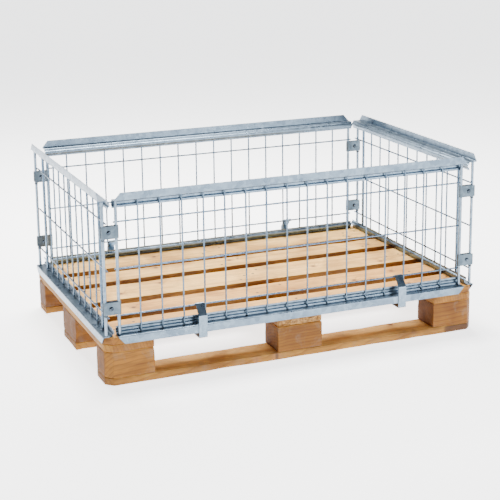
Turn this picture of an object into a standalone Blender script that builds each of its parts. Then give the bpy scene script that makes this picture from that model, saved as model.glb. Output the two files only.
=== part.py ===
"""Flat wooden pallet, 1200 x 800 mm, carrying a hinged wire-mesh collar held by four swinging clips.

Metres, +Z up. The origin is on the floor under the pallet's centre, +X along its long side. The front
is the long side at -Y. Layers, from the floor: bottom boards, blocks, cross boards, deck boards, collar.
"""

import math

import bmesh
import bpy
from mathutils import Matrix, Vector

# Pallet
PALLET_LENGTH = 1.200
PALLET_WIDTH = 0.800
BOARD_THICKNESS = 0.022
BLOCK_HEIGHT = 0.078
BLOCK_LENGTH = 0.145
OUTER_BLOCK_WIDTH = 0.100
MIDDLE_BLOCK_WIDTH = 0.145
DECK_BOARD_WIDTHS = (0.145, 0.100, 0.145, 0.100, 0.145)
CORNER_CUT = 0.022
WOOD_EDGE_BEVEL = 0.0015
FIT_GAP = 0.0003  # left between touching pieces
DECK_TOP = 3 * BOARD_THICKNESS + BLOCK_HEIGHT

# Collar, measured from the deck: u is outward from the mesh's plane and v is up from the deck
LONG_PLANE = 0.380  # from the centre to the plane of the long panels' vertical wires
SHORT_PLANE = 0.580
COLLAR_HEIGHT = 0.395  # from the deck to the ledge that a stacked pallet stands on
WIRE_RADIUS = 0.0025
BAR_RADIUS = 0.0045
WIRE_SIDES = 6
BAR_SIDES = 10
ROW_OFFSET = 0.004  # between the planes of the vertical and the horizontal wires
LONG_PITCH = 0.065
LONG_SPACES = 17
SHORT_PITCH = 0.064
SHORT_SPACES = 12
ROW_HEIGHTS = (0.056, 0.1925, 0.329)
ROW_OVERHANG = 0.006
WIRE_END_GAP = 0.004
BAR_END_GAP = 0.003
LONG_POST_X = LONG_PITCH * LONG_SPACES / 2
SHORT_POST_Y = SHORT_PITCH * SHORT_SPACES / 2
LONG_POST_U = SHORT_POST_Y - LONG_PLANE  # puts both posts of a corner on one line along X
SHORT_POST_U = ROW_OFFSET + WIRE_RADIUS + BAR_RADIUS + 0.0005
INNER_BAR_U = BAR_RADIUS - WIRE_RADIUS

# Rails
SHEET = 0.002
FLANGE_U = -0.004
BEAD_U = -0.009
FLANGE_HEIGHT = 0.026
BEAD_TOP = 0.017
BEAD_BOTTOM = 0.010
BEAD_SLOPE = 0.003
LEDGE_V = SHEET / 2 + FIT_GAP
LIP_U = 0.0222
LIP_DEPTH = 0.021
LONG_RAIL_HALF = 0.561
SHORT_RAIL_HALF = 0.390
LIP_END_CUT = 0.018

# Corner hinges: one folded plate and one rivet at each of two heights
PLATE_HEIGHT = 0.036
PLATE_CENTRES = (0.083, 0.303)
PLATE_GAP = 0.0004
PLATE_FOLD_RADIUS = BAR_RADIUS + PLATE_GAP + SHEET / 2
PLATE_END_PAST_POST = 0.0065
FOLD_SEGMENTS = 10
POST_SPACING = SHORT_PLANE + SHORT_POST_U - LONG_POST_X
RIVET_FROM_LONG_POST = 0.0235
RIVET_RADIUS = 0.003
RIVET_CLEARANCE = 0.0003
RIVET_HEAD_RADIUS = 0.0065
RIVET_HEAD_HEIGHT = 0.0035
RIVET_SIDES = 14

# Clips, which hang on the lowest horizontal wire of the long panels
CLIP_WIDTH = 0.026
CLIP_FROM_WIRE = 0.0165  # from the clip's middle to the vertical wire beside it
CLIP_WIRES = (4, 14)
CLIP_HOOK_RADIUS = WIRE_RADIUS + 0.0004 + SHEET / 2
CLIP_HOOK_START = math.radians(212)
CLIP_HOOK_END = math.radians(42)
CLIP_HOOK_SEGMENTS = 8
CLIP_FACE_U = LIP_U + SHEET + 0.0005
CLIP_BEND_V = 0.029
CLIP_BOTTOM_V = -0.036
CLIP_TONGUE_U = -0.040

SIDES = {"front": 0, "right": 90, "back": 180, "left": 270}  # turn of each panel about +Z, in degrees


def clear_scene():
    for old in list(bpy.data.objects):
        bpy.data.objects.remove(old, do_unlink=True)


def material(name, colour, roughness, metallic):
    made = bpy.data.materials.new(name)
    made.use_nodes = True
    shader = made.node_tree.nodes["Principled BSDF"]
    shader.inputs["Base Color"].default_value = (*colour, 1)
    shader.inputs["Roughness"].default_value = roughness
    shader.inputs["Metallic"].default_value = metallic
    made.diffuse_color = (*colour, 1)
    return made


def add_object(name, mesh, surface, matrix=None, parent=None):
    obj = bpy.data.objects.new(name, mesh)
    bpy.context.scene.collection.objects.link(obj)
    obj.parent = parent
    if matrix is not None:
        obj.matrix_basis = matrix
    if surface is not None and not mesh.materials:
        mesh.materials.append(surface)
    return obj


def mesh_from(bm, name, smooth_angle=None):
    bmesh.ops.recalc_face_normals(bm, faces=bm.faces)
    if bm.calc_volume(signed=True) < 0:
        bmesh.ops.reverse_faces(bm, faces=bm.faces)
    mesh = bpy.data.meshes.new(name)
    bm.to_mesh(mesh)
    bm.free()
    if smooth_angle is not None:
        mesh.shade_smooth()
        mesh.set_sharp_from_angle(angle=math.radians(smooth_angle))
    return mesh


def bridge_caps(bm, low, high):
    """Closes two matching rings of points into one solid."""
    first = [bm.verts.new(point) for point in low]
    last = [bm.verts.new(point) for point in high]
    bm.faces.new(first[::-1])
    bm.faces.new(last)
    for i in range(len(first)):
        after = (i + 1) % len(first)
        bm.faces.new((first[i], first[after], last[after], last[i]))


def ring(centre, across, up, radius, sides):
    """Points round a circle whose plane holds the unit vectors across and up."""
    turns = [2 * math.pi * (i + 0.5) / sides for i in range(sides)]
    return [centre + radius * (across * math.cos(t) + up * math.sin(t)) for t in turns]


def add_rod(bm, start, end, radius, sides):
    along = (end - start).normalized()
    across = along.orthogonal().normalized()
    up = along.cross(across)
    bridge_caps(bm, ring(start, across, up, radius, sides), ring(end, across, up, radius, sides))


def band_outline(centre, thickness):
    """The closed outline of a strip of even thickness along an open run of 2-D points."""
    left, right = [], []
    for i, point in enumerate(centre):
        before = point - centre[i - 1] if i else centre[1] - point
        after = centre[i + 1] - point if i + 1 < len(centre) else before
        side = Vector((-before.y, before.x)).normalized()
        next_side = Vector((-after.y, after.x)).normalized()
        mitre = (side + next_side).normalized()
        reach = thickness / 2 / mitre.dot(side)
        left.append(point + mitre * reach)
        right.append(point - mitre * reach)
    return left + right[::-1]


def carved(name, base, tool, operation):
    """A new mesh: base joined with tool, or with tool cut out of it."""
    base_object = add_object(name + "_base", base, None)
    tool_object = add_object(name + "_tool", tool, None)
    tool_object.hide_render = True
    tool_object.display_type = "WIRE"
    boolean = base_object.modifiers.new("shape", "BOOLEAN")
    boolean.operation = operation
    boolean.solver = "EXACT"
    boolean.object = tool_object
    bpy.context.view_layer.update()
    evaluated = base_object.evaluated_get(bpy.context.evaluated_depsgraph_get())
    result = bpy.data.meshes.new_from_object(evaluated)
    result.name = name
    for helper in (base_object, tool_object):
        bpy.data.objects.remove(helper, do_unlink=True)
    return result


# ---- Pallet


def cut_rectangle(x_low, x_high, y_low, y_high):
    """A rectangle's outline, with a corner cut off wherever it is one of the pallet's own corners."""
    outline = []
    for x, y, x_first in (
        (x_low, y_low, False),
        (x_high, y_low, True),
        (x_high, y_high, False),
        (x_low, y_high, True),
    ):
        outer = abs(x) > PALLET_LENGTH / 2 - 1e-6 and abs(y) > PALLET_WIDTH / 2 - 1e-6
        if not outer:
            outline.append((x, y))
            continue
        along_x = (x - math.copysign(CORNER_CUT, x), y)
        along_y = (x, y - math.copysign(CORNER_CUT, y))
        outline += [along_x, along_y] if x_first else [along_y, along_x]
    return outline


def add_timber(name, x_range, y_range, z_range, wood):
    """One piece of wood, with a small bevel along its edges. z_range already leaves the fit gap."""
    bm = bmesh.new()
    outline = cut_rectangle(*x_range, *y_range)
    bridge_caps(
        bm,
        [Vector((x, y, z_range[0])) for x, y in outline],
        [Vector((x, y, z_range[1])) for x, y in outline],
    )
    centre = Vector((sum(x_range) / 2, sum(y_range) / 2, sum(z_range) / 2))
    bmesh.ops.translate(bm, verts=bm.verts, vec=-centre)
    obj = add_object(name, mesh_from(bm, name), wood, Matrix.Translation(centre))
    bevel = obj.modifiers.new("edges", "BEVEL")
    bevel.width = WOOD_EDGE_BEVEL
    bevel.segments = 1
    bevel.limit_method = "ANGLE"
    return obj


def make_pallet(wood):
    half_length = PALLET_LENGTH / 2
    half_width = PALLET_WIDTH / 2
    block_floor = BOARD_THICKNESS
    cross_floor = block_floor + BLOCK_HEIGHT
    deck_floor = cross_floor + BOARD_THICKNESS
    columns = {
        "left": (-half_length, -half_length + BLOCK_LENGTH),
        "middle": (-BLOCK_LENGTH / 2, BLOCK_LENGTH / 2),
        "right": (half_length - BLOCK_LENGTH, half_length),
    }
    rows = {
        "front": (-half_width, -half_width + OUTER_BLOCK_WIDTH),
        "middle": (-MIDDLE_BLOCK_WIDTH / 2, MIDDLE_BLOCK_WIDTH / 2),
        "back": (half_width - OUTER_BLOCK_WIDTH, half_width),
    }
    for row, y_range in rows.items():
        add_timber(
            f"bottom_board_{row}", (-half_length, half_length), y_range, (0, BOARD_THICKNESS), wood
        )
        for column, x_range in columns.items():
            z_range = (block_floor + FIT_GAP, cross_floor)
            add_timber(f"block_{row}_{column}", x_range, y_range, z_range, wood)
    for column, x_range in columns.items():
        z_range = (cross_floor + FIT_GAP, deck_floor)
        add_timber(f"cross_board_{column}", x_range, (-half_width, half_width), z_range, wood)
    space = (PALLET_WIDTH - sum(DECK_BOARD_WIDTHS)) / (len(DECK_BOARD_WIDTHS) - 1)
    edge = -half_width
    for number, width in enumerate(DECK_BOARD_WIDTHS, 1):
        y_range = (edge, min(edge + width, half_width))
        z_range = (deck_floor + FIT_GAP, DECK_TOP)
        add_timber(f"deck_board_{number}", (-half_length, half_length), y_range, z_range, wood)
        edge += width + space


# ---- Collar panels. A panel's own axes: X along it, -Y outward, Z up from the deck


def local(along, u, v):
    return Vector((along, -u, v))


def make_rail_mesh(name, half_length, at_top):
    """Flange with a rolled bead, ledge outward, and a lip past the deck's edge. The top rail is the
    bottom one upside down, so its lip stands up and its ledge faces the next load."""
    profile = [
        (FLANGE_U, FLANGE_HEIGHT),
        (FLANGE_U, BEAD_TOP + BEAD_SLOPE),
        (BEAD_U, BEAD_TOP),
        (BEAD_U, BEAD_BOTTOM),
        (FLANGE_U, BEAD_BOTTOM - BEAD_SLOPE),
        (FLANGE_U, LEDGE_V),
        (LIP_U, LEDGE_V),
        (LIP_U, -LIP_DEPTH),
    ]
    outline = band_outline([Vector(point) for point in profile], SHEET)
    bm = bmesh.new()
    ends = []
    for sign in (-1, 1):
        end = []
        for u, v in outline:
            drop = min(1, max(0, -v) / LIP_DEPTH)
            height = COLLAR_HEIGHT - v if at_top else v
            end.append(local(sign * (half_length - drop * LIP_END_CUT), u, height))
        ends.append(end)
    bridge_caps(bm, *ends)
    return mesh_from(bm, name)


def make_grid_mesh(name, spaces, pitch, row_u, inner_bars):
    """Vertical wires crossed by horizontal ones, welded into one piece. inner_bars thickens the
    first and the last vertical."""
    half = spaces * pitch / 2
    uprights = bmesh.new()
    for i in range(1, spaces):
        along = -half + i * pitch
        thick = inner_bars and i in (1, spaces - 1)
        u = INNER_BAR_U if thick else 0
        radius, sides = (BAR_RADIUS, BAR_SIDES) if thick else (WIRE_RADIUS, WIRE_SIDES)
        add_rod(
            uprights,
            local(along, u, WIRE_END_GAP),
            local(along, u, COLLAR_HEIGHT - WIRE_END_GAP),
            radius,
            sides,
        )
    rows = bmesh.new()
    reach = half + ROW_OVERHANG
    for height in ROW_HEIGHTS:
        add_rod(
            rows,
            local(-reach, row_u, height),
            local(reach, row_u, height),
            WIRE_RADIUS,
            WIRE_SIDES,
        )
    rows_mesh = mesh_from(rows, name + "_rows")
    return carved(name, mesh_from(uprights, name + "_uprights"), rows_mesh, "UNION")


def make_post_mesh():
    bm = bmesh.new()
    low = Vector((0, 0, BAR_END_GAP))
    high = Vector((0, 0, COLLAR_HEIGHT - BAR_END_GAP))
    add_rod(bm, low, high, BAR_RADIUS, BAR_SIDES)
    return mesh_from(bm, "post", 50)


def panel_empty(side, plane):
    """An empty on the deck in the plane of the panel's wires, turned so that its -Y is outward."""
    turn = Matrix.Rotation(math.radians(SIDES[side]), 4, "Z")
    empty = add_object(f"{side}_panel", None, None)
    empty.matrix_world = turn @ Matrix.Translation((0, -plane, DECK_TOP))
    return empty


def make_panels(zinc):
    post = make_post_mesh()
    kinds = {
        "long": (LONG_PLANE, LONG_RAIL_HALF, LONG_SPACES, LONG_PITCH, -ROW_OFFSET, LONG_POST_U),
        "short": (SHORT_PLANE, SHORT_RAIL_HALF, SHORT_SPACES, SHORT_PITCH, ROW_OFFSET, SHORT_POST_U),
    }
    empties = {}
    for kind, sides in (("long", ("front", "back")), ("short", ("left", "right"))):
        plane, rail_half, spaces, pitch, row_u, post_u = kinds[kind]
        bottom = make_rail_mesh(f"{kind}_bottom_rail", rail_half, False)
        top = make_rail_mesh(f"{kind}_top_rail", rail_half, True)
        grid = make_grid_mesh(f"{kind}_grid", spaces, pitch, row_u, kind == "short")
        for side in sides:
            empty = empties[side] = panel_empty(side, plane)
            add_object(f"{side}_bottom_rail", bottom, zinc, parent=empty)
            add_object(f"{side}_top_rail", top, zinc, parent=empty)
            add_object(f"{side}_wire_mesh", grid, zinc, parent=empty)
            for sign, number in ((-1, 1), (1, 2)):
                place = Matrix.Translation(local(sign * spaces * pitch / 2, post_u, 0))
                add_object(f"{side}_post_{number}", post, zinc, place, empty)
    return empties


# ---- Corner hinges


def make_plate_mesh():
    """A strip folded round the long panel's post, which is at the origin. Its two cheeks run along
    +X past the short panel's post, with a hole through both for the rivet."""
    end = POST_SPACING + PLATE_END_PAST_POST
    path = [Vector((end, -PLATE_FOLD_RADIUS))]
    for i in range(FOLD_SEGMENTS + 1):
        turn = -math.pi / 2 - math.pi * i / FOLD_SEGMENTS
        path.append(PLATE_FOLD_RADIUS * Vector((math.cos(turn), math.sin(turn))))
    path.append(Vector((end, PLATE_FOLD_RADIUS)))
    outline = band_outline(path, SHEET)
    strip = bmesh.new()
    bridge_caps(
        strip,
        [Vector((x, y, -PLATE_HEIGHT / 2)) for x, y in outline],
        [Vector((x, y, PLATE_HEIGHT / 2)) for x, y in outline],
    )
    hole = bmesh.new()
    reach = Vector((0, 2 * PLATE_FOLD_RADIUS, 0))
    centre = Vector((RIVET_FROM_LONG_POST, 0, 0))
    add_rod(hole, centre - reach, centre + reach, RIVET_RADIUS + RIVET_CLEARANCE, RIVET_SIDES)
    hole_mesh = mesh_from(hole, "rivet_hole")
    plate = carved("hinge_plate", mesh_from(strip, "hinge_strip"), hole_mesh, "DIFFERENCE")
    plate.shade_smooth()
    plate.set_sharp_from_angle(angle=math.radians(40))
    return plate


def make_rivet_mesh():
    """A shank along Y with a domed head outside each cheek."""
    seat = PLATE_FOLD_RADIUS + SHEET / 2 + FIT_GAP
    half_profile = [
        (RIVET_RADIUS, seat),
        (RIVET_HEAD_RADIUS, seat),
        (RIVET_HEAD_RADIUS * 0.86, seat + RIVET_HEAD_HEIGHT * 0.55),
        (RIVET_HEAD_RADIUS * 0.45, seat + RIVET_HEAD_HEIGHT * 0.92),
    ]
    profile = [(radius, -y) for radius, y in reversed(half_profile)] + half_profile
    bm = bmesh.new()
    rings = []
    for radius, y in profile:
        centre = Vector((0, y, 0))
        points = ring(centre, Vector((1, 0, 0)), Vector((0, 0, 1)), radius, RIVET_SIDES)
        rings.append([bm.verts.new(point) for point in points])
    for low, high in zip(rings, rings[1:]):
        for i in range(RIVET_SIDES):
            after = (i + 1) % RIVET_SIDES
            bm.faces.new((low[i], low[after], high[after], high[i]))
    for end, sign in ((rings[0], -1), (rings[-1], 1)):
        pole = bm.verts.new((0, sign * (seat + RIVET_HEAD_HEIGHT), 0))
        for i in range(RIVET_SIDES):
            bm.faces.new((end[i], end[(i + 1) % RIVET_SIDES], pole))
    return mesh_from(bm, "hinge_rivet", 50)


def make_hinges(zinc):
    plate = make_plate_mesh()
    rivet = make_rivet_mesh()
    for front_back, y_sign in (("front", -1), ("back", 1)):
        for left_right, x_sign in (("left", -1), ("right", 1)):
            turn = Matrix.Rotation(0 if x_sign > 0 else math.pi, 4, "Z")
            for level, height in zip(("lower", "upper"), PLATE_CENTRES):
                corner = f"{front_back}_{left_right}_{level}"
                at = Vector((x_sign * LONG_POST_X, y_sign * SHORT_POST_Y, DECK_TOP + height))
                add_object(f"hinge_plate_{corner}", plate, zinc, Matrix.Translation(at) @ turn)
                at.x += x_sign * RIVET_FROM_LONG_POST
                add_object(f"hinge_rivet_{corner}", rivet, zinc, Matrix.Translation(at))


# ---- Clips


def make_clip_mesh():
    """A strip hooked over the wire, which is at the origin, that slants out past the rail's lip, hangs
    down beside the deck's edge and turns in under the deck board."""
    wire = Vector((-ROW_OFFSET, ROW_HEIGHTS[0]))
    path = []
    for i in range(CLIP_HOOK_SEGMENTS + 1):
        turn = CLIP_HOOK_START + (CLIP_HOOK_END - CLIP_HOOK_START) * i / CLIP_HOOK_SEGMENTS
        path.append(CLIP_HOOK_RADIUS * Vector((math.cos(turn), math.sin(turn))))
    path.append(Vector((CLIP_FACE_U, CLIP_BEND_V)) - wire)
    path.append(Vector((CLIP_FACE_U, CLIP_BOTTOM_V)) - wire)
    path.append(Vector((CLIP_TONGUE_U, CLIP_BOTTOM_V)) - wire)
    outline = band_outline(path, SHEET)
    bm = bmesh.new()
    half = CLIP_WIDTH / 2
    bridge_caps(
        bm, [local(-half, u, v) for u, v in outline], [local(half, u, v) for u, v in outline]
    )
    return mesh_from(bm, "clip", 30)


def make_clips(zinc, empties):
    """Each clip's origin is on the axis of the wire that it swings about."""
    clip = make_clip_mesh()
    for side in ("front", "back"):
        for wire, hand in zip(CLIP_WIRES, (-1, 1)):
            along = -LONG_POST_X + wire * LONG_PITCH - CLIP_FROM_WIRE
            place = Matrix.Translation(local(along, -ROW_OFFSET, ROW_HEIGHTS[0]))
            right_hand = (hand > 0) == (side == "front")
            name = f"clip_{side}_{'right' if right_hand else 'left'}"
            add_object(name, clip, zinc, place, empties[side])


clear_scene()
pine = material("pine", (0.62, 0.40, 0.20), 0.75, 0.0)
galvanised = material("galvanised_steel", (0.55, 0.60, 0.64), 0.42, 0.9)
make_pallet(pine)
panels = make_panels(galvanised)
make_hinges(galvanised)
make_clips(galvanised, panels)
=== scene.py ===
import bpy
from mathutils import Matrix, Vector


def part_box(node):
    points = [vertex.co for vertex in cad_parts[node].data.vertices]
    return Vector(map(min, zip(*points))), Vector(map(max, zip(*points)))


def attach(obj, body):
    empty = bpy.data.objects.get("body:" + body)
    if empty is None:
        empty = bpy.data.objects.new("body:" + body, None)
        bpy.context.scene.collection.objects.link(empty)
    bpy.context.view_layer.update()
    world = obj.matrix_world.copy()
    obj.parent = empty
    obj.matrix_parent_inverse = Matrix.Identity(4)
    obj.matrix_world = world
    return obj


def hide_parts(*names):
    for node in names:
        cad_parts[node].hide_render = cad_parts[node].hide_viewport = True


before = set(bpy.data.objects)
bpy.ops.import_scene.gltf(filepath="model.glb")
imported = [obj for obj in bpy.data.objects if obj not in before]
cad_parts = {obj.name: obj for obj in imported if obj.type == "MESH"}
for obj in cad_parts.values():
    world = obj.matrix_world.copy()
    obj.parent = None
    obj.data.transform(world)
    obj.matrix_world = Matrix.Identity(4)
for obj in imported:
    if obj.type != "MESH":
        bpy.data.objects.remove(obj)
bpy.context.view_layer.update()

import math

import bmesh
import bpy
from mathutils import Matrix, Vector, noise

# Camera
CAMERA_PLACE = (-1.5463, -3.7506, 1.3981)
CAMERA_AZIMUTH = -22.52
CAMERA_ELEVATION = 13.49
CAMERA_ROLL = 0.657
CAMERA_LENS = 94.19
CAMERA_SHIFT_Y = -0.12

# Studio
SKY_STRENGTH = 3.0
FLOOR_SIZE = 40
FLOOR_DROP = 0.0005  # keeps the floor off the boards' undersides

# The collar's section, as in the CAD: u is outward from a panel's wires, v is up from the deck
DECK_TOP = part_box("deck_board_1")[1].z
LONG_PLANE = 0.380
SHORT_PLANE = 0.580
COLLAR_HEIGHT = 0.395
SHEET = 0.002
FIT_GAP = 0.0003
LEDGE_V = SHEET / 2 + FIT_GAP
FLANGE_U = -0.004
BEAD_U = -0.009
FLANGE_HEIGHT = 0.026
BEAD_TOP = 0.017
BEAD_BOTTOM = 0.010
BEAD_SLOPE = 0.003
LIP_U = 0.0222
LIP_DEPTH = 0.021
LIP_END_CUT = 0.018
WIRE_RADIUS = 0.0025
ROUND_WIRE_RADIUS = WIRE_RADIUS * 0.98  # keeps a round wire within the corners of the CAD's prism
BAR_RADIUS = 0.0044  # 0.0045 in the CAD, for the same reason
ROW_OFFSET = 0.004
ROW_HEIGHTS = (0.056, 0.1925, 0.329)
ROW_OVERHANG = 0.006
LONG_SPACES = 17
SHORT_SPACES = 12
RAIL_BEND = 0.0028
WIRE_END_V = 0.0042
WIRE_SIDES = 14
BAR_SIDES = 20
POST_SIDES = 24

# Welds, as half sizes: the wires' along, across and up their panel, and a stop's along X, Y and Z
CROSSING_WELD = (0.0026, 0.0019, 0.0026)
FLANGE_WELD = (0.0031, 0.0009, 0.0019)
FLANGE_WELD_U = -0.0016
FLANGE_WELD_HEIGHTS = (0.0052, 0.0232)
STOP_WELD = (0.0062, 0.0060, 0.0034)
STOP_DROP = 0.0038  # from a hinge plate's underside to the middle of the weld below it
WELD_RINGS = 5
WELD_SIDES = 10

# Hinge plates, rivets and clips
PLATE_CORNER = 0.0032
PLATE_CORNER_STEPS = 8
PLATE_FOLD_STEPS = 24
RIVET_HEAD = 0.0035
RIVET_SHANK_RADIUS = 0.0030
RIVET_SIDES = 28
CLIP_HOOK_GAP = 0.0004
CLIP_HOOK_TURNS = (math.radians(212), math.radians(42))
CLIP_HOOK_STEPS = 16
CLIP_BEND_V = 0.029
CLIP_BEND = 0.0035
CLIP_EDGE = 0.0004

# Pallet
HALF_LENGTH = 0.6
HALF_WIDTH = 0.4
CORNER_CUT = 0.022  # how far along each edge the pallet's own corners are cut off
TIMBER_EDGE = 0.0024
MESH_STEP = (0.03, 0.03, 0.011)  # along X, Y and Z, but not along the grain
MESH_STEP_ALONG = 0.05
END_STEPS = (0.004, 0.010, 0.020)
HOLLOW_DEPTH = 0.0005
SAW_DEPTH = 0.0002
EDGE_ZONE = 0.0045  # a point this near to two sides is on an edge, which is chipped and worn
CHIP_DEPTH = 0.0045
WEAR_DEPTH = 0.0016
ROUGH_REACH = 0.006  # how far in from the rough end its surface is broken up
ROUGH_MESH_STEP = 0.0032
ROUGH_CHIP_DEPTH = 0.0075
ROUGH_FIBRE_DEPTH = 0.004
WIDE_BOARD = 0.12  # a deck board wider than this takes a second row of nails along each edge
NAIL_SIDES = 16
NAIL_SET = 0.00005
NAIL_HEAD = ((0.0042, -0.0016), (0.0046, -0.0005), (0.0043, -0.0001), (0.0026, 0.0), (0.0004, 0.0))

# Colours in the wood
KNOT_HALO = (0.36, 0.15, 0.045)
KNOT_CORE = (0.085, 0.036, 0.014)
END_GRAIN = (0.62, 0.52, 0.42)
GRIME = (0.17, 0.12, 0.085)
STAIN = (0.055, 0.022, 0.010)

PANELS = {
    "front": (0, LONG_PLANE, LONG_SPACES),
    "right": (90, SHORT_PLANE, SHORT_SPACES),
    "back": (180, LONG_PLANE, LONG_SPACES),
    "left": (270, SHORT_PLANE, SHORT_SPACES),
}


# ---- Camera, light and floor


def make_camera():
    azimuth, elevation, roll = map(math.radians, (CAMERA_AZIMUTH, CAMERA_ELEVATION, CAMERA_ROLL))
    flat = math.cos(elevation)
    back = Vector((math.sin(azimuth) * flat, -math.cos(azimuth) * flat, math.sin(elevation)))
    right = Vector((math.cos(azimuth), math.sin(azimuth), 0))
    up = back.cross(right)
    rolled_right = right * math.cos(roll) - up * math.sin(roll)
    rolled_up = right * math.sin(roll) + up * math.cos(roll)
    turn = Matrix((rolled_right, rolled_up, back)).transposed().to_4x4()
    camera = bpy.data.objects.new("camera", bpy.data.cameras.new("camera"))
    camera.matrix_world = Matrix.Translation(CAMERA_PLACE) @ turn
    camera.data.lens = CAMERA_LENS
    camera.data.shift_y = CAMERA_SHIFT_Y
    bpy.context.scene.collection.objects.link(camera)
    bpy.context.scene.camera = camera


def add_area_light(name, place, target, size, power, colour):
    light = bpy.data.lights.new(name, "AREA")
    light.shape = "RECTANGLE"
    light.size, light.size_y = size
    light.energy = power
    light.color = colour
    obj = bpy.data.objects.new(name, light)
    obj.location = place
    obj.rotation_euler = (Vector(target) - Vector(place)).to_track_quat("-Z", "Y").to_euler()
    bpy.context.scene.collection.objects.link(obj)


def make_studio():
    """A dark ceiling over bright walls, with a dark flag on the left. Upright sheet metal looks bright
    in it. Slanting metal and faces to the left look dark."""
    world = bpy.data.worlds.new("studio")
    world.use_nodes = True
    tree = world.node_tree
    sky = tree.nodes["Background"]
    towards = add_node(tree, "ShaderNodeTexCoord").outputs["Generated"]
    towards = add_node(tree, "ShaderNodeSeparateXYZ", {0: towards})
    walls = ramp(
        tree, towards.outputs["Z"], [(0.12, (0.97, 0.98, 1.0)), (0.42, (0.05, 0.06, 0.075))], "EASE"
    )
    leftward = times(tree, towards.outputs["X"], -1.0)
    flag = ramp(tree, leftward, [(0.15, grey(1)), (0.75, grey(0.12))], "EASE")
    tree.links.new(blend(tree, 1.0, walls, flag, "MULTIPLY"), sky.inputs["Color"])
    sky.inputs["Strength"].default_value = SKY_STRENGTH
    bpy.context.scene.world = world
    middle = (0, 0, 0.2)
    add_area_light(
        "key", (0.1, 1.4, 2.9), middle, size=(2.2, 1.8), power=430, colour=(1.0, 0.98, 0.95)
    )
    add_area_light(
        "fill", (1.8, -4.2, 1.3), middle, size=(2.0, 2.0), power=110, colour=(0.97, 0.98, 1.0)
    )
    bm = bmesh.new()
    bmesh.ops.create_grid(bm, x_segments=2, y_segments=2, size=FLOOR_SIZE)
    mesh = bpy.data.meshes.new("floor")
    bm.to_mesh(mesh)
    bm.free()
    floor = bpy.data.objects.new("floor", mesh)
    floor.location.z = -FLOOR_DROP
    bpy.context.scene.collection.objects.link(floor)
    paper = bpy.data.materials.new("paper_floor")
    paper.use_nodes = True
    shader = paper.node_tree.nodes["Principled BSDF"]
    shader.inputs["Base Color"].default_value = (0.9, 0.9, 0.9, 1)
    shader.inputs["Emission Color"].default_value = (1, 1, 1, 1)
    shader.inputs["Emission Strength"].default_value = 2.8
    shader.inputs["Roughness"].default_value = 0.9
    mesh.materials.append(paper)


# ---- Materials


def add_node(tree, kind, inputs=None, **settings):
    """A shader node. An input that is a socket is linked, and any other is set."""
    made = tree.nodes.new(kind)
    for name, value in settings.items():
        setattr(made, name, value)
    for name, value in (inputs or {}).items():
        socket = made.inputs[name]
        if isinstance(value, bpy.types.NodeSocket):
            tree.links.new(value, socket)
        else:
            socket.default_value = value
    return made


def new_material(name):
    made = bpy.data.materials.new(name)
    made.use_nodes = True
    return made, made.node_tree, made.node_tree.nodes["Principled BSDF"]


def link(tree, socket, shader, name):
    tree.links.new(socket, shader.inputs[name])


def math_of(tree, operation, *values, clamp=False):
    made = add_node(tree, "ShaderNodeMath", dict(enumerate(values)), operation=operation)
    made.use_clamp = clamp
    return made.outputs[0]


def times(tree, first, second):
    return math_of(tree, "MULTIPLY", first, second)


def plus(tree, first, second, clamp=False):
    return math_of(tree, "ADD", first, second, clamp=clamp)


def vector_of(tree, operation, first, second):
    inputs = {0: first, 1: second}
    return add_node(tree, "ShaderNodeVectorMath", inputs, operation=operation).outputs[0]


def ramp(tree, value, stops, interpolation="LINEAR"):
    """A colour ramp's output. stops are (position, colour) pairs."""
    made = add_node(tree, "ShaderNodeValToRGB", {"Fac": value})
    made.color_ramp.interpolation = interpolation
    elements = made.color_ramp.elements
    while len(elements) < len(stops):
        elements.new(0.5)
    for element, (position, colour) in zip(elements, stops):
        element.position = position
        element.color = (*colour, 1)
    return made.outputs["Color"]


def grey(value):
    return (value, value, value)


def blend(tree, factor, first, second, kind="MIX"):
    made = add_node(tree, "ShaderNodeMix", data_type="RGBA", blend_type=kind)
    made.clamp_factor = True
    sockets = (made.inputs[0], made.inputs[6], made.inputs[7])  # the factor and the two colours
    for socket, value in zip(sockets, (factor, first, second)):
        if isinstance(value, bpy.types.NodeSocket):
            tree.links.new(value, socket)
        elif socket.type == "RGBA":
            socket.default_value = (*value, 1)
        else:
            socket.default_value = value
    return made.outputs[2]


def mapped(tree, offset, scale, turn=(0, 0, 0)):
    place = add_node(tree, "ShaderNodeTexCoord").outputs["Object"]
    inputs = {"Vector": place, "Location": offset, "Scale": scale, "Rotation": turn}
    return add_node(tree, "ShaderNodeMapping", inputs).outputs["Vector"]


def noise_of(tree, vector, scale, detail=3.0, roughness=0.5, distortion=0.0):
    inputs = {
        "Vector": vector,
        "Scale": scale,
        "Detail": detail,
        "Roughness": roughness,
        "Distortion": distortion,
    }
    return add_node(tree, "ShaderNodeTexNoise", inputs).outputs["Fac"]


def bump(tree, shader, height, strength, distance):
    inputs = {"Height": height, "Strength": strength, "Distance": distance}
    link(tree, add_node(tree, "ShaderNodeBump", inputs).outputs["Normal"], shader, "Normal")


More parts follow.
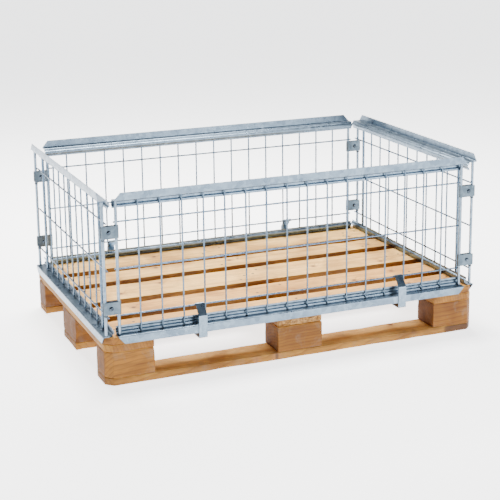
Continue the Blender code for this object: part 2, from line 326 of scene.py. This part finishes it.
def pine(name, along, seed, tops, sides, dirt, crumbled=False, stained=False):
    """Rough-sawn pine. along is 0 or 1, the axis that the grain runs along. seed moves the board about
    in the log, so no two boards show the same rings and knots. tops and sides are each a pale and a
    deep colour, the tops being for faces that look up: the paler tops are painted light from above
    and the darker sides painted shade. crumbled breaks up the colour of the end grain, and stained
    darkens the right end of the front."""
    made, tree, shader = new_material(name)
    offset = Vector((seed * 0.731 % 1.9, seed * 1.117 % 1.3, 0.07 + seed * 0.377 % 0.09))
    if along == 1:
        offset.x, offset.y = offset.y, offset.x
    slope = [0.0, 0.0, 0.0]
    slope[1 if along == 0 else 0] = 0.035 + 0.01 * (seed % 3)
    slope[2] = 0.03 * ((seed % 5) - 2)
    stretch = [1.0, 1.0, 1.0]
    stretch[along] = 0.05
    place = mapped(tree, offset, (1, 1, 1), slope)
    fibre_place = mapped(tree, offset, stretch, slope)

    # knots, with the rings bent round them
    cells = add_node(
        tree, "ShaderNodeTexVoronoi", {"Vector": place, "Scale": 8.0}, voronoi_dimensions="2D"
    )
    rough_edge = noise_of(tree, place, 160, 2)
    distance = plus(tree, cells.outputs["Distance"], times(tree, rough_edge, 0.035))
    split = add_node(tree, "ShaderNodeSeparateColor", {"Color": cells.outputs["Color"]})
    chosen = math_of(tree, "GREATER_THAN", split.outputs[0], 0.45)
    near = ramp(tree, distance, [(0.0, grey(1)), (0.36, grey(0))], "EASE")
    bend = times(tree, near, chosen)
    core = ramp(tree, distance, [(0.055, grey(1)), (0.085, grey(0))])
    halo = ramp(tree, distance, [(0.07, grey(1)), (0.19, grey(0))], "EASE")
    core = times(tree, core, chosen)
    halo = times(tree, halo, chosen)

    shift = vector_of(tree, "MULTIPLY", bend, (0.0, 0.012, 0.022))
    rings = add_node(
        tree,
        "ShaderNodeTexWave",
        {
            "Vector": vector_of(tree, "ADD", place, shift),
            "Scale": 34.0,
            "Distortion": 2.6,
            "Detail": 2.0,
            "Detail Scale": 0.35,
            "Detail Roughness": 0.55,
        },
        wave_type="RINGS",
        rings_direction="XYZ"[along],
        wave_profile="SAW",
    ).outputs["Fac"]
    fibre = noise_of(tree, fibre_place, 520, 4, 0.65)
    streaks = noise_of(tree, fibre_place, 60, 3, 0.6)
    blotch = noise_of(tree, place, 6.5, 3, 0.55, 0.4)

    # the tone: painted light on faces that look up and painted shade on the sides, then rings,
    # streaks, fibres, blotches and knots
    geometry = add_node(tree, "ShaderNodeNewGeometry")
    axes = add_node(tree, "ShaderNodeSeparateXYZ", {0: geometry.outputs["Normal"]})
    # faces that look up take the tops' paler colours, painted light from above; the others take the
    # sides' darker ones, painted shade
    painted_toplight = ramp(tree, axes.outputs["Z"], [(0.45, grey(0)), (0.85, grey(1))], "EASE")
    pale = blend(tree, painted_toplight, sides[0], tops[0])
    deep = blend(tree, painted_toplight, sides[1], tops[1])
    ring_tone = ramp(
        tree, rings, [(0.0, grey(0)), (0.62, grey(0.12)), (0.93, grey(1)), (1.0, grey(0.1))]
    )
    colour = blend(tree, times(tree, ring_tone, 0.55), pale, deep)
    streak_tone = ramp(tree, streaks, [(0.42, grey(0)), (0.75, grey(1))])
    colour = blend(tree, times(tree, streak_tone, 0.62), colour, deep)
    fibre_tone = ramp(tree, fibre, [(0.30, (0.66, 0.60, 0.54)), (0.62, (1.08, 1.06, 1.02))])
    colour = blend(tree, 0.75, colour, fibre_tone, "MULTIPLY")
    blotch_tone = ramp(tree, blotch, [(0.38, (0.64, 0.53, 0.40)), (0.60, (1.14, 1.12, 1.08))])
    colour = blend(tree, 0.8, colour, blotch_tone, "MULTIPLY")
    colour = blend(tree, times(tree, halo, 0.55), colour, KNOT_HALO)
    colour = blend(tree, times(tree, core, 0.88), colour, KNOT_CORE)

    # end grain is darker, and so are the dirty patches
    facing = math_of(tree, "ABSOLUTE", axes.outputs[along])
    end = ramp(tree, facing, [(0.75, grey(0)), (0.95, grey(1))])
    colour = blend(tree, times(tree, end, 0.75), colour, END_GRAIN, "MULTIPLY")
    grime = noise_of(tree, place, 21, 5, 0.68, 0.6)
    grime_tone = ramp(tree, grime, [(0.50, grey(0)), (0.70, grey(1))])
    colour = blend(tree, times(tree, grime_tone, dirt), colour, GRIME)
    if stained:
        here = add_node(tree, "ShaderNodeTexCoord").outputs["Object"]
        spot = add_node(tree, "ShaderNodeSeparateXYZ", {0: here})
        reach = plus(tree, spot.outputs["X"], times(tree, grime, 0.02))
        patch = ramp(tree, reach, [(0.500, grey(0)), (0.512, grey(1))])
        forward = times(tree, axes.outputs["Y"], -1.0)
        front = ramp(tree, forward, [(0.4, grey(0)), (0.7, grey(1))])
        patch = times(tree, patch, front)
        colour = blend(tree, times(tree, patch, 0.85), colour, STAIN)
    if crumbled:
        crumbs = noise_of(tree, place, 150, 4, 0.75)
        crumb_tone = ramp(tree, crumbs, [(0.38, (0.07, 0.034, 0.012)), (0.6, (0.46, 0.26, 0.09))])
        colour = blend(tree, times(tree, end, 0.7), colour, crumb_tone)
    link(tree, colour, shader, "Base Color")

    dull = ramp(tree, fibre, [(0.2, grey(0.62)), (0.8, grey(0.84))])
    link(tree, dull, shader, "Roughness")
    shader.inputs["Specular IOR Level"].default_value = 0.3
    relief = plus(tree, times(tree, fibre, 0.8), times(tree, ring_tone, -0.25))
    relief = math_of(tree, "SUBTRACT", relief, times(tree, core, 0.5))
    bump(tree, shader, relief, 0.45, 0.0011)
    return made


def zinc(name, bright, shade, roughness, metallic, spangle=70.0):
    """Hot-dip galvanised steel: crystals of slightly different greys, dull patches and upright runs.
    spangle is the scale of the crystals, which are smaller as it grows."""
    made, tree, shader = new_material(name)
    place = mapped(tree, (0.13, 0.29, 0.41), (1, 1, 1))
    wander = noise_of(tree, place, 90, 3)
    wobble = vector_of(tree, "MULTIPLY", wander, (0.004, 0.004, 0.004))
    warped = vector_of(tree, "ADD", place, wobble)
    crystals = add_node(tree, "ShaderNodeTexVoronoi", {"Vector": warped, "Scale": spangle})
    split = add_node(tree, "ShaderNodeSeparateColor", {"Color": crystals.outputs["Color"]})
    runs = noise_of(tree, mapped(tree, (0.7, 0.2, 0.5), (1.0, 1.0, 0.12)), 55, 3, 0.6)
    patches = noise_of(tree, place, 17, 4, 0.6, 0.5)
    speck = noise_of(tree, place, 420, 3, 0.7)
    tone = plus(tree, times(tree, split.outputs[1], 0.34), times(tree, patches, 0.65))
    tone = plus(tree, tone, times(tree, runs, 0.35))
    tone_ramp = ramp(tree, tone, [(0.30, shade), (0.95, bright)])
    speck_ramp = ramp(tree, speck, [(0.28, grey(0.84)), (0.55, grey(1.0)), (0.82, grey(1.1))])
    colour = blend(tree, 0.7, tone_ramp, speck_ramp, "MULTIPLY")
    link(tree, colour, shader, "Base Color")
    shader.inputs["Metallic"].default_value = metallic
    gloss = plus(tree, times(tree, patches, 0.10), times(tree, split.outputs[0], 0.06))
    gloss = plus(tree, gloss, roughness - 0.08, clamp=True)
    link(tree, gloss, shader, "Roughness")
    height = plus(tree, times(tree, speck, 0.35), times(tree, wander, 0.8))
    bump(tree, shader, height, 0.16, 0.0004)
    return made


def nail_steel():
    made, tree, shader = new_material("nail_steel")
    place = mapped(tree, (0, 0, 0), (1, 1, 1))
    rust = noise_of(tree, place, 240, 3)
    colour = ramp(tree, rust, [(0.35, (0.035, 0.020, 0.012)), (0.65, (0.13, 0.105, 0.09))])
    link(tree, colour, shader, "Base Color")
    link(tree, ramp(tree, rust, [(0.3, grey(0.8)), (0.7, grey(0.5))]), shader, "Roughness")
    shader.inputs["Metallic"].default_value = 0.6
    return made


# ---- Shape helpers


def add_piece(name, bm, surface, body, nodes, matrix, smooth_angle, second=None):
    """Turns a bmesh into a piece that stands for the named CAD nodes and rides on their body. matrix
    is None if it is built in place. smooth_angle is in degrees. second is the material of the faces
    with index 1."""
    if matrix is not None:
        bmesh.ops.transform(bm, matrix=matrix, verts=bm.verts)
    bmesh.ops.recalc_face_normals(bm, faces=bm.faces)
    if bm.calc_volume(signed=True) < 0:
        bmesh.ops.reverse_faces(bm, faces=bm.faces)
    mesh = bpy.data.meshes.new(name)
    bm.to_mesh(mesh)
    bm.free()
    mesh.materials.append(surface)
    if second is not None:
        mesh.materials.append(second)
    mesh.shade_smooth()
    mesh.set_sharp_from_angle(angle=math.radians(smooth_angle))
    piece = bpy.data.objects.new(name, mesh)
    bpy.context.scene.collection.objects.link(piece)
    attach(piece, body)
    if nodes:
        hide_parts(*nodes)
    return piece


def panel_matrix(side):
    turn, plane, _ = PANELS[side]
    return Matrix.Rotation(math.radians(turn), 4, "Z") @ Matrix.Translation((0, -plane, DECK_TOP))


def local(along, u, v):
    """A point in a panel's own frame, before panel_matrix."""
    return Vector((along, -u, v))


def filleted(points, radius, steps=5):
    """An open run of 2-D points with each inner corner turned into an arc."""
    path = [Vector(points[0])]
    for before, corner, after in zip(points, points[1:], points[2:]):
        before, corner, after = Vector(before), Vector(corner), Vector(after)
        into, out = (corner - before), (after - corner)
        turn = into.angle(out)
        reach = min(radius * math.tan(turn / 2), into.length * 0.45, out.length * 0.45)
        start, end = corner - into.normalized() * reach, corner + out.normalized() * reach
        for i in range(steps + 1):
            t = i / steps
            path.append(start * (1 - t) ** 2 + corner * 2 * t * (1 - t) + end * t**2)
    path.append(Vector(points[-1]))
    return path


def band(centre, thickness):
    """The two sides of a strip of even thickness along an open run of 2-D points."""
    left, right = [], []
    for i, point in enumerate(centre):
        before = point - centre[i - 1] if i else centre[1] - point
        after = centre[i + 1] - point if i + 1 < len(centre) else before
        side = Vector((-before.y, before.x)).normalized()
        next_side = Vector((-after.y, after.x)).normalized()
        mitre = (side + next_side).normalized()
        reach = thickness / 2 / mitre.dot(side)
        left.append(point + mitre * reach)
        right.append(point - mitre * reach)
    return left, right


def skin_loops(bm, loops):
    """Joins matching closed loops of points in turn, and caps the first and the last."""
    rings = [[bm.verts.new(point) for point in loop] for loop in loops]
    count = len(rings[0])
    for low, high in zip(rings, rings[1:]):
        for i in range(count):
            after = (i + 1) % count
            bm.faces.new((low[i], low[after], high[after], high[i]))
    bm.faces.new(rings[0][::-1])
    bm.faces.new(rings[-1])


def circle(centre, across, up, radius, sides):
    turns = [2 * math.pi * i / sides for i in range(sides)]
    return [centre + radius * (across * math.cos(t) + up * math.sin(t)) for t in turns]


def add_wire(bm, start, end, radius, sides=WIRE_SIDES):
    """A round wire with slightly rounded ends, as left by a shear."""
    along = (end - start).normalized()
    across = along.orthogonal().normalized()
    up = along.cross(across)
    nose, tip = radius * 0.3, radius * 0.72
    stations = [
        (start, tip),
        (start + along * nose, radius),
        (end - along * nose, radius),
        (end, tip),
    ]
    skin_loops(bm, [circle(place, across, up, size, sides) for place, size in stations])


def add_weld(bm, centre, radii, dark=False):
    """A closed flattened bead. A dark one takes the piece's second material."""
    known = len(bm.faces)
    low = bm.verts.new(centre - Vector((0, 0, radii[2])))
    high = bm.verts.new(centre + Vector((0, 0, radii[2])))
    turns = [2 * math.pi * k / WELD_SIDES for k in range(WELD_SIDES)]
    loops = []
    for i in range(1, WELD_RINGS):
        lift = math.pi * i / WELD_RINGS
        across, deep = radii[0] * math.sin(lift), radii[1] * math.sin(lift)
        rise = -radii[2] * math.cos(lift)
        loops.append([
            bm.verts.new(centre + Vector((across * math.cos(t), deep * math.sin(t), rise)))
            for t in turns
        ])
    for lower, upper in zip(loops, loops[1:]):
        for k in range(WELD_SIDES):
            after = (k + 1) % WELD_SIDES
            bm.faces.new((lower[k], lower[after], upper[after], upper[k]))
    for k in range(WELD_SIDES):
        after = (k + 1) % WELD_SIDES
        bm.faces.new((loops[0][after], loops[0][k], low))
        bm.faces.new((loops[-1][k], loops[-1][after], high))
    bm.faces.ensure_lookup_table()
    for face in bm.faces[known:]:
        face.material_index = int(dark)


# ---- Collar


def rail_piece(side, top, surface):
    """Rolled sheet with rounded bends; the lip's ends are cut at a slant."""
    node = f"{side}_{'top' if top else 'bottom'}_rail"
    low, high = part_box(node)
    half = max(high.x - low.x, high.y - low.y) / 2
    profile = [
        (FLANGE_U, FLANGE_HEIGHT),
        (FLANGE_U, BEAD_TOP + BEAD_SLOPE),
        (BEAD_U, BEAD_TOP),
        (BEAD_U, BEAD_BOTTOM),
        (FLANGE_U, BEAD_BOTTOM - BEAD_SLOPE),
        (FLANGE_U, LEDGE_V),
        (LIP_U, LEDGE_V),
        (LIP_U, -LIP_DEPTH),
    ]
    left, right = band(filleted(profile, RAIL_BEND), SHEET)
    outline = left + right[::-1]
    loops = []
    for sign in (-1, 1):
        loop = []
        for u, v in outline:
            drop = min(1, max(0, -v) / LIP_DEPTH)
            height = COLLAR_HEIGHT - v if top else v
            loop.append(local(sign * (half - drop * LIP_END_CUT), u, height))
        loops.append(loop)
    bm = bmesh.new()
    skin_loops(bm, loops)
    add_piece(f"rolled_{node}", bm, surface, "collar", [node], panel_matrix(side), 28)


def post_centre(side, number):
    low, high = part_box(f"{side}_post_{number}")
    return (low + high) / 2


def wire_mesh_piece(side, surface, welds):
    """Round wires, a weld at every crossing, and two where each upright meets a flange."""
    _, _, spaces = PANELS[side]
    half = (post_centre(side, 2) - post_centre(side, 1)).length / 2
    pitch = 2 * half / spaces
    short = spaces == SHORT_SPACES
    row_u = ROW_OFFSET if short else -ROW_OFFSET
    bm = bmesh.new()
    for i in range(1, spaces):
        along = -half + i * pitch
        thick = short and i in (1, spaces - 1)
        radius, sides = (BAR_RADIUS, BAR_SIDES) if thick else (ROUND_WIRE_RADIUS, WIRE_SIDES)
        u = BAR_RADIUS - WIRE_RADIUS + 0.0001 if thick else 0
        low, high = local(along, u, WIRE_END_V), local(along, u, COLLAR_HEIGHT - WIRE_END_V)
        add_wire(bm, low, high, radius, sides)
        for row in ROW_HEIGHTS:
            add_weld(bm, local(along, row_u * 0.5, row), CROSSING_WELD)
        for v in FLANGE_WELD_HEIGHTS:
            for height in (v, COLLAR_HEIGHT - v):
                add_weld(bm, local(along, FLANGE_WELD_U, height), FLANGE_WELD, True)
    reach = half + ROW_OVERHANG
    for row in ROW_HEIGHTS:
        add_wire(bm, local(-reach, row_u, row), local(reach, row_u, row), ROUND_WIRE_RADIUS)
    node = f"{side}_wire_mesh"
    add_piece(f"round_{node}", bm, surface, "collar", [node], panel_matrix(side), 40, welds)


def post_piece(side, number, surface, welds):
    """A round bar. Those of the short panels have a dark weld under each hinge plate."""
    node = f"{side}_post_{number}"
    low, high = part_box(node)
    centre = (low + high) / 2
    bm = bmesh.new()
    start = Vector((centre.x, centre.y, low.z))
    add_wire(bm, start, Vector((centre.x, centre.y, high.z)), BAR_RADIUS, POST_SIDES)
    if side in ("left", "right"):
        for level in ("lower", "upper"):
            plate_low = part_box(f"hinge_plate_front_{side}_{level}")[0]
            stop = Vector((centre.x, centre.y, plate_low.z - STOP_DROP))
            add_weld(bm, stop, STOP_WELD, True)
    add_piece(f"round_{node}", bm, surface, "collar", [node], None, 40, welds)


def hinge_piece(node, surface):
    """A strip folded round the long panel's post, with rounded corners at its open end."""
    low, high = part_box(node)
    outward = 1 if (low.x + high.x) > 0 else -1
    middle_y, middle_z = (low.y + high.y) / 2, (low.z + high.z) / 2
    half_height = (high.z - low.z) / 2
    half_width = (high.y - low.y) / 2
    fold = half_width - SHEET / 2
    fold_x = half_width  # from the closed end's outer side to the fold's centre
    length = high.x - low.x - fold_x
    corner = PLATE_CORNER
    turns = [math.pi / 2 * i / PLATE_CORNER_STEPS for i in range(PLATE_CORNER_STEPS + 1)]
    run = [length - corner * (1 - math.cos(t)) for t in turns]
    run += [length * 0.66, length * 0.45, length * 0.2]
    path = [Vector((x, -fold)) for x in run]
    for i in range(PLATE_FOLD_STEPS + 1):
        t = -math.pi / 2 - math.pi * i / PLATE_FOLD_STEPS
        path.append(fold * Vector((math.cos(t), math.sin(t))))
    path += [Vector((x, fold)) for x in reversed(run)]
    outer, inner = band(path, SHEET)
    bm = bmesh.new()
    loops = []
    for middle, a, b in zip(path, outer, inner):
        past = max(0.0, middle.x - (length - corner))
        tall = half_height - corner + math.sqrt(max(0.0, corner**2 - past**2))
        loops.append([
            Vector((a.x, a.y, -tall)),
            Vector((b.x, b.y, -tall)),
            Vector((b.x, b.y, tall)),
            Vector((a.x, a.y, tall)),
        ])
    skin_loops(bm, loops)
    turn = Matrix.Rotation(0 if outward > 0 else math.pi, 4, "Z")
    fold_place = low.x + fold_x if outward > 0 else high.x - fold_x
    place = Matrix.Translation((fold_place, middle_y, middle_z)) @ turn
    add_piece(f"folded_{node}", bm, surface, "collar", [node], place, 30)


def rivet_piece(node, surface):
    """Two domed heads, each with the dimple of the set in its middle, and the shank between."""
    low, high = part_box(node)
    centre = (low + high) / 2
    reach = (high.y - low.y) / 2
    size = (high.x - low.x) / 2
    seat = reach - RIVET_HEAD
    head = [
        (RIVET_SHANK_RADIUS, seat),
        (size, seat),
        (size * 0.99, seat + 0.0006),
        (size * 0.90, seat + 0.0018),
        (size * 0.70, seat + 0.0028),
        (size * 0.44, seat + 0.0034),
        (size * 0.26, seat + 0.0035),
        (size * 0.16, seat + 0.0030),
        (size * 0.03, seat + 0.0028),
    ]
    profile = [(radius, -y) for radius, y in reversed(head)] + head
    bm = bmesh.new()
    across, up = Vector((1, 0, 0)), Vector((0, 0, 1))
    skin_loops(
        bm, [circle(centre + Vector((0, y, 0)), across, up, r, RIVET_SIDES) for r, y in profile]
    )
    add_piece(f"domed_{node}", bm, surface, "collar", [node], None, 50)


def clip_piece(node, surface):
    """A strip hooked over the lowest wire, bent out past the lip, down, and in under the deck."""
    low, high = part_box(node)
    side = "front" if "front" in node else "back"
    wire = Vector((-ROW_OFFSET, ROW_HEIGHTS[0]))
    hook = WIRE_RADIUS + CLIP_HOOK_GAP + SHEET / 2
    start, end = CLIP_HOOK_TURNS
    arc = []
    for i in range(CLIP_HOOK_STEPS + 1):
        t = start + (end - start) * i / CLIP_HOOK_STEPS
        arc.append(wire + hook * Vector((math.cos(t), math.sin(t))))
    inner_y, outer_y = (-high.y, -low.y) if side == "front" else (low.y, high.y)
    face_u = outer_y - LONG_PLANE - SHEET / 2
    bottom_v = low.z - DECK_TOP + SHEET / 2
    bends = [
        arc[-1],
        Vector((face_u, CLIP_BEND_V)),
        Vector((face_u, bottom_v)),
        Vector((inner_y - LONG_PLANE, bottom_v)),
    ]
    path = arc[:-1] + filleted(bends, CLIP_BEND, steps=7)
    left, right = band(path, SHEET)
    outline = left + right[::-1]
    half = (high.x - low.x) / 2
    centre_x = (low.x + high.x) / 2 * (1 if side == "front" else -1)
    bm = bmesh.new()
    skin_loops(bm, [[local(centre_x + x, u, v) for u, v in outline] for x in (-half, half)])
    piece = add_piece(f"bent_{node}", bm, surface, node, [node], panel_matrix(side), 28)
    bevel = piece.modifiers.new("edges", "BEVEL")
    bevel.width = CLIP_EDGE
    bevel.segments = 2
    bevel.limit_method = "ANGLE"
    bevel.angle_limit = math.radians(50)


# ---- Pallet


def planes_between(low, high, spacing):
    """Evenly spaced places between two others, about spacing apart."""
    count = max(1, round((high - low) / spacing))
    return [low + (high - low) * i / count for i in range(1, count)]


def timber_piece(node, surface, along, seed, rough_end=False):
    """A board or block: rounded edges, a sawn surface a little hollowed, and chipped corners. Points
    only move inward, so the piece stays inside the CAD solid. rough_end crumbles its front end."""
    low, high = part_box(node)
    outline = []
    for x, y, x_first in (
        (low.x, low.y, False),
        (high.x, low.y, True),
        (high.x, high.y, False),
        (low.x, high.y, True),
    ):
        if abs(x) < HALF_LENGTH - 1e-4 or abs(y) < HALF_WIDTH - 1e-4:
            outline.append((x, y))
            continue
        pair = [(x - math.copysign(CORNER_CUT, x), y), (x, y - math.copysign(CORNER_CUT, y))]
        outline += pair if x_first else pair[::-1]
    bm = bmesh.new()
    skin_loops(bm, [[Vector((x, y, z)) for x, y in outline] for z in (low.z, high.z)])
    bmesh.ops.bevel(
        bm,
        geom=bm.edges[:],
        offset=TIMBER_EDGE,
        offset_type="OFFSET",
        segments=3,
        profile=0.5,
        affect="EDGES",
    )
    cuts = []
    for axis in range(3):
        spacing = MESH_STEP_ALONG if axis == along else MESH_STEP[axis]
        cuts += [(axis, at) for at in planes_between(low[axis], high[axis], spacing)]
    for end in (low[along], high[along]):
        inward = 1 if end == low[along] else -1
        cuts += [(along, end + inward * step) for step in END_STEPS]
    if rough_end:
        for axis in (0, 2):
            cuts += [(axis, at) for at in planes_between(low[axis], high[axis], ROUGH_MESH_STEP)]
        cuts += [(1, low.y + 0.002 * step) for step in range(2, 8)]
    for axis, at in cuts:
        place, normal = Vector((0, 0, 0)), Vector((0, 0, 0))
        place[axis], normal[axis] = at, 1
        everything = bm.verts[:] + bm.edges[:] + bm.faces[:]
        bmesh.ops.bisect_plane(bm, geom=everything, dist=1e-5, plane_co=place, plane_no=normal)
    bm.normal_update()
    shift = Vector((seed * 3.17, seed * 1.73, seed * 0.61))
    moves = []
    for vert in bm.verts:
        place = vert.co + shift
        hollow = HOLLOW_DEPTH * (0.5 + 0.5 * noise.noise(place * 9))
        saw = SAW_DEPTH * (0.5 + 0.5 * noise.noise(place * 60))
        near_sides = sum(
            min(vert.co[axis] - low[axis], high[axis] - vert.co[axis]) < EDGE_ZONE
            for axis in range(3)
        )
        chip = 0.0
        if near_sides >= 2:
            chip = CHIP_DEPTH * max(0.0, noise.noise(place * 38) - 0.22)
            chip += WEAR_DEPTH * max(0.0, noise.noise(place * 14))
        depth = hollow + saw + chip
        if rough_end and vert.co.y < low.y + ROUGH_REACH:
            depth += ROUGH_CHIP_DEPTH * abs(noise.noise(place * 85))
            depth += ROUGH_FIBRE_DEPTH * abs(noise.noise(place * 210))
        moves.append((vert, -vert.normal * depth))
    for vert, move in moves:
        vert.co += move
        for axis in range(3):
            vert.co[axis] = min(max(vert.co[axis], low[axis]), high[axis])
    add_piece(f"sawn_{node}", bm, surface, "pallet", [node], None, 32)


def nail_places():
    """Where the nails go: (x, y, z, up), up being -1 for a head that looks down. Each deck board is
    nailed to each cross board, and each bottom board to each block."""
    places = []
    columns = [
        sum((corner.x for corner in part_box(f"cross_board_{column}")), 0.0) / 2
        for column in ("left", "middle", "right")
    ]
    for number in range(1, 6):
        low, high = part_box(f"deck_board_{number}")
        wide = high.y - low.y > WIDE_BOARD
        insets = (0.032, 0.068) if wide else (0.026,)
        for column in columns:
            for i, inset in enumerate(insets):
                sway = 0.006 * math.sin(number * 2.1 + column * 9 + i)
                spread = 0.043 - 0.021 * i
                places.append((column - spread + sway, low.y + inset, high.z, 1))
                places.append((column + spread - sway, high.y - inset, high.z, 1))
    for row in ("front", "middle", "back"):
        low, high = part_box(f"bottom_board_{row}")
        for column in columns:
            for side in (-1, 1):
                y = (low.y + high.y) / 2 + side * (high.y - low.y) * 0.24
                places.append((column + side * 0.03, y, low.z, -1))
                places.append((column - side * 0.035, y - side * 0.012, low.z, -1))
    return places


def nail_heads(surface):
    """Flat round heads with a rim, set level with the wood."""
    bm = bmesh.new()
    across, forward = Vector((1, 0, 0)), Vector((0, 1, 0))
    for x, y, z, up in nail_places():
        top = z - up * NAIL_SET
        loops = [
            circle(Vector((x, y, top + up * h)), across, forward, radius, NAIL_SIDES)
            for radius, h in NAIL_HEAD
        ]
        skin_loops(bm, loops)
    add_piece("nail_heads", bm, surface, "pallet", [], None, 40)


def make_pallet():
    """Each board gets its own place in the log, and a pale and a deep colour for its tops and sides:
    the tops' colours are painted light from above and the sides' painted shade.
    """
    # colours for the tops, pale: painted light from above
    toplit_pale = ((0.90, 0.57, 0.19), (0.46, 0.215, 0.042))
    toplit_peach = ((0.84, 0.46, 0.13), (0.40, 0.155, 0.027))
    # colours for the sides, much darker: painted shade
    shaded_amber = ((0.27, 0.118, 0.014), (0.085, 0.028, 0.003))
    shaded_brown = ((0.21, 0.084, 0.008), (0.07, 0.021, 0.002))
    shaded_straw = ((0.38, 0.190, 0.034), (0.15, 0.057, 0.007))
    seed = 3
    for number in range(1, 6):
        tops = toplit_peach if number in (1, 2) else toplit_pale
        surface = pine(f"pine_deck_{number}", 0, seed, tops, shaded_amber, 0.16)
        timber_piece(f"deck_board_{number}", surface, 0, seed)
        seed += 1
    for column in ("left", "middle", "right"):
        crumbled = column == "middle"
        surface = pine(f"pine_cross_{column}", 1, seed, toplit_peach, shaded_straw, 0.3, crumbled)
        timber_piece(f"cross_board_{column}", surface, 1, seed, crumbled)
        seed += 1
    for row in ("front", "middle", "back"):
        for column in ("left", "middle", "right"):
            # blocks behind the front row, under the deck, take the darker brown sides as painted shade,
            # and so does the front right block
            sides = shaded_brown if (row, column) == ("front", "right") or row != "front" else shaded_amber
            surface = pine(f"pine_block_{row}_{column}", 0, seed, toplit_peach, sides, 0.5)
            timber_piece(f"block_{row}_{column}", surface, 0, seed)
            seed += 1
        stained = row == "front"
        surface = pine(f"pine_bottom_{row}", 0, seed, toplit_pale, shaded_straw, 0.34, stained=stained)
        timber_piece(f"bottom_board_{row}", surface, 0, seed)
        seed += 1
    nail_heads(nail_steel())


def make_collar():
    """Each kind of piece has its own shade of zinc; the rivets' darker one is painted shade round their
    heads.
    """
    rail_zinc = zinc("zinc_rails", (0.20, 0.265, 0.33), (0.085, 0.12, 0.165), 0.30, 0.96)
    wire_zinc = zinc("zinc_wires", (0.14, 0.20, 0.265), (0.05, 0.08, 0.125), 0.28, 0.96, 150.0)
    weld_zinc = zinc("zinc_welds", (0.030, 0.038, 0.046), (0.008, 0.010, 0.014), 0.60, 0.4, 300.0)
    post_zinc = zinc("zinc_posts", (0.24, 0.31, 0.38), (0.11, 0.15, 0.20), 0.30, 0.96, 110.0)
    hinge_zinc = zinc("zinc_hinges", (0.12, 0.16, 0.195), (0.045, 0.065, 0.085), 0.38, 0.95, 90.0)
    # the rivets are darker than the plates: painted shade round their heads
    shaded_rivet_zinc = zinc("zinc_rivets_shaded", (0.10, 0.13, 0.17), (0.012, 0.018, 0.025), 0.26, 0.95, 120.0)
    clip_zinc = zinc("zinc_clips", (0.22, 0.29, 0.36), (0.12, 0.165, 0.215), 0.30, 0.97, 120.0)
    for side in PANELS:
        rail_piece(side, False, rail_zinc)
        rail_piece(side, True, rail_zinc)
        wire_mesh_piece(side, wire_zinc, weld_zinc)
        for number in (1, 2):
            post_piece(side, number, post_zinc, weld_zinc)
    for node in sorted(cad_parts):
        if node.startswith("hinge_plate"):
            hinge_piece(node, hinge_zinc)
        elif node.startswith("hinge_rivet"):
            rivet_piece(node, shaded_rivet_zinc)
        elif node.startswith("clip_"):
            clip_piece(node, clip_zinc)


make_camera()
make_studio()
make_collar()
make_pallet()
